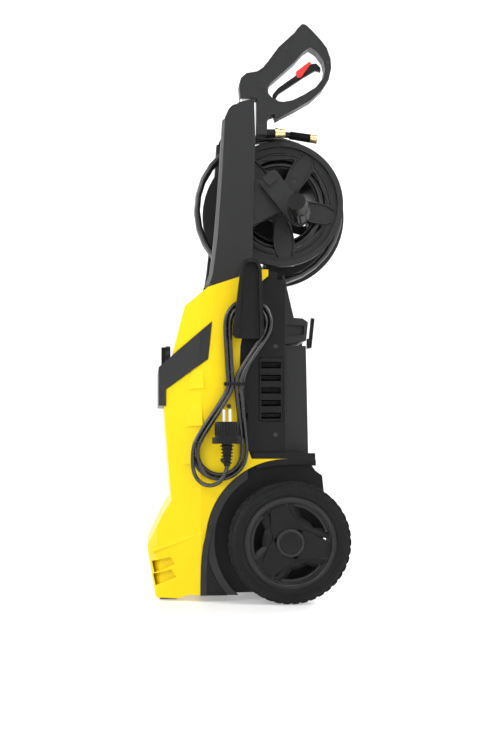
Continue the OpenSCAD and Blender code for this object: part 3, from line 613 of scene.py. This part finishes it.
class WASHER_OT_stage(bpy.types.Operator):
    """Set up the floor, the lights and the camera"""
    bl_idname = "washer.stage"
    bl_label = "Stage"

    def execute(self, context):
        stage = context.scene.washer_stage
        data = bpy.data.cameras.new("Camera")
        data.sensor_fit = "VERTICAL"
        data.sensor_height = 36
        data.lens = stage.lens
        data.shift_y = stage.rise
        data.clip_end = 60
        camera = bpy.data.objects.new("Camera", data)
        camera.location = stage.camera
        camera.rotation_euler = (math.radians(90), 0, math.radians(90) - stage.turn)
        context.scene.collection.objects.link(camera)
        context.scene.camera = camera

        floor = self.floor()
        context.scene.collection.objects.link(floor)
        for name, place, size, power in (
            ("Key", (2.6, -2.4, 2.3), 1.0, 42),
            ("Fill", (2.6, 2.6, 1.6), 0.8, 18),
            ("Back", (-1.4, 1.9, 2.0), 1.0, 30),
            ("Front rim", (-0.7, -2.6, 1.5), 0.9, 24),
            ("Top", (1.1, 0.3, 2.6), 0.8, 22),
        ):
            self.lamp(context, name, place, size, power)
        context.scene.view_settings.view_transform = "Standard"
        world = bpy.data.worlds.new("Studio")
        world.use_nodes = True
        background = world.node_tree.nodes["Background"]
        background.inputs["Color"].default_value = (1, 1, 1, 1)
        background.inputs["Strength"].default_value = 0.32
        context.scene.world = world
        return {"FINISHED"}

    def floor(self):
        """A pale floor that curves up all round into a backdrop."""
        flat, bend, sunk, wall = 4.4, 1.2, -0.0004, 7.0
        profile = [(sunk, 0.02), (sunk, flat)]
        for k in range(1, 11):
            a = math.radians(90 * k / 10)
            profile.append((bend - bend * math.cos(a), flat + bend * math.sin(a)))
        profile.append((wall, 5.6))
        points, faces = turned((0, 0, 0), UPWARD, profile, 96)
        mesh = mesh_from("Floor", points, faces[:-1])
        mesh.polygons.foreach_set("use_smooth", [True] * len(mesh.polygons))
        shader = Shader("studio_floor")
        shader.set("Base Color", (0.93, 0.93, 0.93))
        shader.set("Roughness", 0.16 + shader.noise(2.0) * 0.03)
        shader.set("Specular IOR Level", 0.35)
        shader.set("Emission Color", (1.0, 1.0, 1.0))
        shader.set("Emission Strength", 0.3)
        mesh.materials.append(shader.material)
        return bpy.data.objects.new("Floor", mesh)

    def lamp(self, context, name, place, size, power):
        data = bpy.data.lights.new(name, "AREA")
        data.shape = "DISK"
        data.size = size
        data.energy = power
        lamp = bpy.data.objects.new(name, data)
        lamp.location = place
        towards = Vector((0, 0, 0.5)) - Vector(place)
        lamp.rotation_euler = towards.to_track_quat("-Z", "Y").to_euler()
        context.scene.collection.objects.link(lamp)


class WASHER_OT_materials(bpy.types.Operator):
    """Make every finish and give each CAD node its own"""
    bl_idname = "washer.materials"
    bl_label = "Materials"

    def execute(self, context):
        make_materials()
        return {"FINISHED"}


class WASHER_OT_hose(bpy.types.Operator):
    """Wind the pressure hose on the reel"""
    bl_idname = "washer.hose"
    bl_label = "Pressure hose"

    def execute(self, context):
        hose = context.scene.washer_hose
        line = hose_route(hose)
        curve = cord_curve("pressure_hose", line, hose.diameter)
        piece = add_piece("pressure_hose", curve, "reel", "hose_rubber")
        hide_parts("hose_coil", "hose_loops")
        return {"FINISHED"}


class WASHER_OT_cord(bpy.types.Operator):
    """Hang the mains cord on its hook"""
    bl_idname = "washer.cord"
    bl_label = "Mains cord"

    def execute(self, context):
        cord = context.scene.washer_cord
        line = cord_route()
        curve = cord_curve("mains_cord", line, cord.diameter)
        piece = add_piece("mains_cord", curve, "machine", "cord_pvc")
        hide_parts("power_cord", "plug_lead", "cord_hank")
        self.relief_ribs()
        return {"FINISHED"}

    def relief_ribs(self):
        """The grip rings on the plug's strain relief and the plug's side ribs."""
        x, y = (PLUG[0].x + PLUG[1].x) / 2, centre_of(*PLUG)[0]
        low = PLUG[0].z
        solids = []
        for k in range(6):
            at = 0.004 + k * 0.0052
            radius = 0.0048 + (0.0085 - 0.0048) * at / 0.035
            ring = [(at, radius - 0.001), (at + 0.0006, radius + 0.0026), (at + 0.0022, radius + 0.0028),
                    (at + 0.003, radius - 0.001)]
            solids.append(turned((x, y, low), UPWARD, ring, 40))
        ribs, out = 28, 0.0184
        rib = [(0, 0.0003), (0.001, 0.0009), (0.017, 0.0009), (0.018, 0.0003)]
        for k in range(ribs):
            a = 2 * math.pi * k / ribs
            centre = Vector((x + out * math.cos(a), y + out * math.sin(a), low + 0.048))
            solids.append(turned(centre, UPWARD, rib, 8))
        add_solid("plug_ribs", join_solids(solids), "machine", "black_plastic")


# Turned profiles on the hub cap, as (along, radius).
HUB_RING = [(-0.010, 0.0225), (-0.0008, 0.0222), (0.0008, 0.0212), (0.0008, 0.0188), (-0.0006, 0.0178),
            (-0.010, 0.0176)]
HUB_DOME = [(0.0, 0.0175), (0.0006, 0.0172), (0.0012, 0.015), (0.0016, 0.010), (0.0018, 0.003)]
# The rings of a window's frame: inner and outer radius, half angles there in degrees, and height.
WINDOW_FRAME = [
    (0.0275, 0.0615, 20, 45, -0.0035),
    (0.0275, 0.0615, 20, 45, 0.0004),
    (0.0360, 0.0611, 21, 37, 0.0012),
    (0.0435, 0.0598, 18, 27, -0.0034),
    (0.0435, 0.0598, 18, 27, -0.0085),
]
# A spoke's raised face, as (out from the axle, across).
SPOKE_FACE = [(0.0080, -0.0240), (0.0300, -0.0205), (0.0575, -0.0128), (0.0600, -0.0100),
              (0.0600, 0.0100), (0.0575, 0.0128), (0.0300, 0.0205), (0.0080, 0.0240)]


class WASHER_OT_wheels(bpy.types.Operator):
    """Mould the tyres' tread and trim the rims"""
    bl_idname = "washer.wheels"
    bl_label = "Wheels"

    def execute(self, context):
        for side in ("left", "right"):
            self.tyre(context.scene.washer_tyre, side)
            self.rim_trim(side)
        return {"FINISHED"}

    def tyre(self, tyre, side):
        """A turned section whose outer rows are cut by staggered grooves."""
        low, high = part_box("tyre_" + side)
        sign = 1 if side == "left" else -1
        inner, outer = ends_of(low, high, sign)
        width = abs(outer - inner)
        radius = (high.z - low.z) / 2
        y0, z0 = centre_of(low, high)
        rim_low, rim_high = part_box("rim_" + side)
        bore = (rim_high.z - rim_low.z) / 2 + 0.0001
        section = [
            (0.004, bore), (0.001, bore + 0.004), (0.0, bore + 0.009), (0.0012, bore + 0.0105),
            (0.0005, radius - 0.013), (0.0022, radius - 0.0075), (0.0065, radius - 0.0035),
            (0.0068, radius), (0.0135, radius), (0.0165, radius), (0.0172, radius), (width / 2, radius),
        ]
        section += [(width - across, out) for across, out in section[-2::-1]]
        columns = 8
        steps = tyre.blocks * columns
        shoulder = 0.0168
        points = []
        for i in range(steps):
            a = 2 * math.pi * i / steps
            for across, out in section:
                if out > radius - 0.008:
                    if abs(across - width / 2) < width / 2 - shoulder:
                        shift = columns // 4
                    else:
                        shift = columns // 2 if across > width / 2 else 0
                    if (i + shift) % columns in (0, 1):
                        out -= tyre.tread * (1.0 if out > radius - 0.003 else 0.3)
                out -= tyre.crown * (abs(across - width / 2) / (width / 2)) ** 4 * 0.25
                points.append((inner + sign * across, y0 + out * math.cos(a), z0 + out * math.sin(a)))
        solid = points, ring_faces(steps, len(section), closed=True)
        piece = add_solid("tread_tyre_" + side, solid, "wheel_" + side, "tyre", smooth=False,
                          rounding=0.0007)
        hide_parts("tyre_" + side)

    def rim_trim(self, side):
        """A rolled lip inside the tyre, the windows' frames, and a ring and a dome on the hub cap."""
        low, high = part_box("rim_" + side)
        sign = 1 if side == "left" else -1
        body = "wheel_" + side
        face = ends_of(low, high, sign)[1]
        y0, z0 = centre_of(low, high)
        radius = (high.z - low.z) / 2
        points = []
        around, across = 120, 10
        for i in range(around):
            a = 2 * math.pi * i / around
            for k in range(across):
                b = 2 * math.pi * k / across
                out = radius - 0.0042 + 0.0026 * math.cos(b)
                points.append((face - sign * 0.001 + 0.0024 * math.sin(b), y0 + out * math.cos(a),
                               z0 + out * math.sin(a)))
        lip = points, ring_faces(around, across, closed=True)
        add_solid("rim_lip_" + side, lip, body, "charcoal_plastic")
        self.web(side, sign, face, y0, z0)
        cap = ends_of(*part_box("hub_cap_" + side), sign)[1]
        ring = turned((cap - sign * 0.001, y0, z0), (sign, 0, 0), HUB_RING, 72)
        add_solid("hub_ring_" + side, ring, body, "charcoal_plastic")
        dome = turned((cap - sign * 0.0001, y0, z0), (sign, 0, 0), HUB_DOME, 64)
        add_solid("hub_dome_" + side, dome, body, "black_plastic")

    def web(self, side, sign, face, y0, z0):
        """Bevelled frames that narrow the three windows, and the raised faces of the three spokes."""
        deep = face - sign * 0.009
        solids = []
        for k in range(3):
            middle = math.radians(50 + 120 * k)
            rings = []
            for inner, outer, half_in, half_out, x in WINDOW_FRAME:
                ring = [(outer, middle + math.radians(half_out) * (n / 4 - 1)) for n in range(9)]
                ring += [(inner, middle + math.radians(half_in) * (1 - n / 4)) for n in range(9)]
                x = deep + sign * x
                rings.append([(x, y0 + r * math.cos(a), z0 + r * math.sin(a)) for r, a in ring])
            points = [p for ring in rings for p in ring]
            solids.append((points, ring_faces(len(rings), len(rings[0]), closed=True)))
            turn = math.radians(110 + 120 * k)
            c, s = math.cos(turn), math.sin(turn)
            flat = [(y0 + r * c + w * -s, z0 + r * s + w * c) for r, w in SPOKE_FACE]
            solids.append(plate(flat, deep - sign * 0.002, deep + sign * 0.0042))
        add_solid("rim_web_" + side, join_solids(solids), "wheel_" + side, "black_plastic",
                  smooth=False, rounding=0.0014, segments=3)


class WASHER_OT_reel(bpy.types.Operator):
    """Add the flanges' curved ribs"""
    bl_idname = "washer.reel"
    bl_label = "Reel ribs"

    def execute(self, context):
        for side, sign in (("near", 1), ("far", -1)):
            low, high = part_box("reel_flange_" + side)
            face = (high.x - 0.009) if sign > 0 else (low.x + 0.009)
            radius = (high.z - low.z) / 2
            solids = []
            for k in range(5):
                middle = math.radians(23 + 72 * k)
                for edge in (-1, 1):
                    solids.append(self.spoke_rib(face, sign, radius, middle, edge))
                solids.append(sweep_ring((face, REEL.y, REEL.z), radius * 0.80, 0.0022, middle - 0.42,
                                         middle + 0.42, 14))
            add_solid("flange_ribs_" + side, join_solids(solids), "reel", "charcoal_plastic")
        return {"FINISHED"}

    def spoke_rib(self, face, sign, radius, middle, edge):
        """A thin rib beside a window, curving outwards as it nears the rim."""
        points = []
        steps = 10
        for i in range(steps + 1):
            t = i / steps
            out = radius * (0.30 + 0.55 * t)
            a = middle + edge * (0.30 + 0.20 * t * t)
            ahead = Vector((0, -math.sin(a), math.cos(a)))
            centre = Vector((face, REEL.y + out * math.cos(a), REEL.z + out * math.sin(a)))
            for x, side in ((-0.001, -0.0012), (0.0045, -0.0009), (0.0045, 0.0009), (-0.001, 0.0012)):
                points.append(centre + Vector((sign * x, 0, 0)) + ahead * side)
        return points, ring_faces(steps + 1, 4)


# The pads down the cover's front corners: y, z, how wide and how tall.
PADS = [(-0.1045, 0.333, 0.024, 0.036), (-0.1085, 0.2745, 0.026, 0.040), (-0.113, 0.2145, 0.016, 0.032)]
# Side outlines as (y, z): the arch's straight foot, and the flared foot of the rear housing.
ARCH_EDGE = [(-0.0765, 0.116), (-0.0795, 0.100), (-0.0825, 0.088), (-0.0846, 0.072), (-0.0859, 0.0556),
             (-0.0866, 0.030), (-0.0868, 0.0095)]
ARCH_RADIUS = 0.1275
FLARE = [(-0.006, 0.233), (-0.004, 0.222), (0.0036, 0.206), (0.012, 0.2095), (0.040, 0.2135),
         (0.090, 0.2155), (0.0955, 0.224), (0.0955, 0.233)]


class WASHER_OT_cover(bpy.types.Operator):
    """Add the cover's stepped ribs, a dark lining behind the grilles as painted shade, and the arms' nosings"""
    bl_idname = "washer.cover"
    bl_label = "Cover and arms"

    def execute(self, context):
        self.steps()
        self.skirts()
        self.shade_linings()
        self.nosings()
        return {"FINISHED"}

    def facet(self, y):
        """How far out the cover's corner facet stands, at a depth y."""
        crease = COVER[0].y + 0.0831
        return COVER[1].x - max(0.0, crease - y) * 30 / 68

    def swelling(self, corners, side):
        """A raised pad on the corner facet, from (y, z, height) corners."""
        points = [(side * (self.facet(y) - 0.002), y, z) for y, z, _ in corners]
        points += [(side * (self.facet(y) + rise), y, z) for y, z, rise in corners]
        return points, slab_faces(len(corners))

    def steps(self):
        """Stepped pads down each front corner, proud at the foot and flush at the top."""
        solids = []
        for side in (-1, 1):
            for y, z, wide, tall in PADS:
                pad = [(y, z, 0.0038), (y + wide, z + 0.0015, 0.0038),
                       (y + wide * 0.92, z + tall, 0.0002), (y + wide * 0.25, z + tall, 0.0002),
                       (y, z + tall * 0.45, 0.0022)]
                solids.append(self.swelling(pad, side))
            low = COVER[0].y
            toe = [(low + 0.004, 0.081, 0.0002), (low + 0.084, 0.111, 0.0002),
                   (low + 0.089, 0.107, 0.0026), (low + 0.0055, 0.074, 0.003)]
            solids.append(self.swelling(toe, side))
        add_solid("cover_steps", join_solids(solids), "machine", "yellow_plastic", smooth=False,
                  rounding=0.0012, segments=3)

    def skirts(self):
        """The arch's straight foot on the cover, and the rear housing's flared foot above the arch."""
        out = COVER[1].x
        y0, z0 = centre_of(*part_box("rim_left"))
        arc = [(y0 - math.sqrt(max(0.0, ARCH_RADIUS ** 2 - (z - z0) ** 2)), z)
               for z in (0.0095, 0.022, 0.036, 0.050, 0.064, 0.078, 0.092, 0.106)]
        inner = [(y + 0.010, z) for y, z in ARCH_EDGE[::-1]]
        webs, rims, feet = [], [], []
        for side in (-1, 1):
            webs.append(plate(ARCH_EDGE + arc, side * (out - 0.001), side * (out + 0.0012)))
            rims.append(plate(ARCH_EDGE + inner, side * (out - 0.0005), side * (out + 0.0032)))
            feet.append(plate(FLARE, side * 0.1340, side * 0.1455))
        for name, solids, slot in (
            ("arch_webs", webs, "black_plastic"),
            ("arch_rims", rims, "charcoal_plastic"),
            ("housing_flares", feet, "black_plastic"),
        ):
            add_solid(name, join_solids(solids), "machine", slot, smooth=False, rounding=0.0008)

    def shade_linings(self):
        """Dark slanting slats and a dark back sheet close behind each side grille, a painted shade for the
        grilles' gaps.
        """
        low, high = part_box("vent_grilles")
        lap, thick = 0.004, 0.0015
        # The black back sheet is painted shade: it makes the gaps behind the grille dark.
        back = [(low.y - lap, low.z - lap), (high.y + lap, low.z - lap), (high.y + lap, high.z + lap),
                (low.y - lap, high.z + lap)]
        slat = [(thick, 0.0), (0.009, -0.005), (0.009, -0.0035), (thick, 0.0015)]
        solids = []
        for side in (-1, 1):
            x = high.x - 0.016
            solids.append(plate(back, side * x, side * (x + thick)))
            for k in range(10):
                z = low.z + 0.005 + k * 0.01
                points = [(side * (x + dx), y, z + dz) for y in (low.y + 0.003, high.y - 0.003)
                          for dx, dz in slat]
                faces = [(0, 1, 2, 3), (7, 6, 5, 4), (0, 4, 5, 1), (1, 5, 6, 2), (2, 6, 7, 3),
                         (3, 7, 4, 0)]
                solids.append((points, faces))
        add_solid("grille_shade_linings", join_solids(solids), "machine", "black_plastic", smooth=False)

    def nosings(self):
        """A slanting facet down the front of each handle arm."""
        for side, sign in (("left", 1), ("right", -1)):
            low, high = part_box("handle_arm_" + side)
            inner, outer = ends_of(low, high, sign)
            foot = low.z + 0.013
            rows = 12
            points = []
            for k in range(rows + 1):
                t = k / rows
                z = foot + (high.z - 0.032 - foot) * t
                y = -0.07175 + 0.027 * math.sqrt(t * (high.z - 0.03 - foot) / (high.z - foot))
                proud = 0.0062 - 0.0025 * t
                points += [(inner, y + 0.0005, z), (inner, y - proud, z),
                           (outer - sign * 0.011, y - proud, z), (outer, y + 0.0005, z)]
            nosing = points, ring_faces(rows + 1, 4)
            add_solid("arm_nosing_" + side, nosing, "machine", "charcoal_plastic", smooth=False,
                      rounding=0.0012)


class WASHER_PT_panel(bpy.types.Panel):
    """The pressure washer's steps"""
    bl_idname = "WASHER_PT_panel"
    bl_label = "Pressure washer"
    bl_space_type = "VIEW_3D"
    bl_region_type = "UI"
    bl_category = "Washer"

    def draw(self, context):
        for step in STEPS:
            self.layout.operator(step.bl_idname)
        for group in GROUPS:
            box = self.layout.box()
            settings = getattr(context.scene, group)
            for name in settings.__annotations__:
                box.prop(settings, name)


STEPS = (
    WASHER_OT_stage,
    WASHER_OT_materials,
    WASHER_OT_hose,
    WASHER_OT_cord,
    WASHER_OT_wheels,
    WASHER_OT_reel,
    WASHER_OT_cover,
)


def register():
    for made in (*GROUPS.values(), *STEPS, WASHER_PT_panel):
        bpy.utils.register_class(made)
    for name, group in GROUPS.items():
        setattr(bpy.types.Scene, name, PointerProperty(type=group))


def unregister():
    for name in GROUPS:
        delattr(bpy.types.Scene, name)
    for made in reversed((*GROUPS.values(), *STEPS, WASHER_PT_panel)):
        bpy.utils.unregister_class(made)


def main():
    register()
    for step in STEPS:
        area, name = step.bl_idname.split(".")
        getattr(getattr(bpy.ops, area), name)()


if __name__ == "__main__":
    main()
